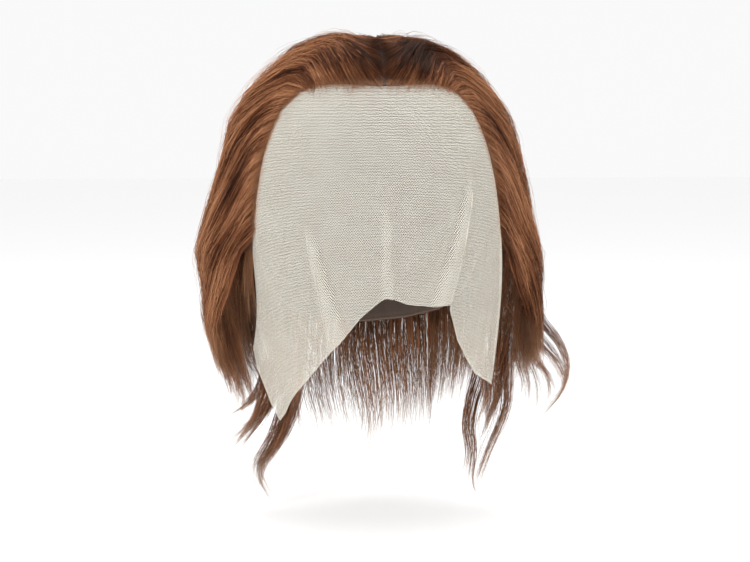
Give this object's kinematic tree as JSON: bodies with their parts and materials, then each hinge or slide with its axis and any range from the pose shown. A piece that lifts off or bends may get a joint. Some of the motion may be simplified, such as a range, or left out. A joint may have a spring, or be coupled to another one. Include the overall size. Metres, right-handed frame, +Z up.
{
  "type": "lace front wig",
  "caption": "Short dark auburn lace front wig, hair swept back in waves from a sheer lace front with pleats and a lobed hem, on a thin closed cap that is open for the head.",
  "frame": {"origin": "the point on the inside of the cap at the crown, where a wearer's head holds the wig up", "axes": "+Z up, the wearer faces -Y, +X is to the right in the picture (the wearer's left)"},
  "size_m": [0.2299, 0.219, 0.297],
  "materials": {
    "auburn_hair": "satin hair",
    "cap_net": "matt net",
    "sheer_lace": "sheer lace"
  },
  "bodies": {
    "root": {"wig_cap": "cap_net", "lace_front": "sheer_lace", "hair_top_left": "auburn_hair", "hair_top_right": "auburn_hair", "hair_temple_left": "auburn_hair", "hair_temple_right": "auburn_hair", "hair_back": "auburn_hair"}
  },
  "joints": []
}
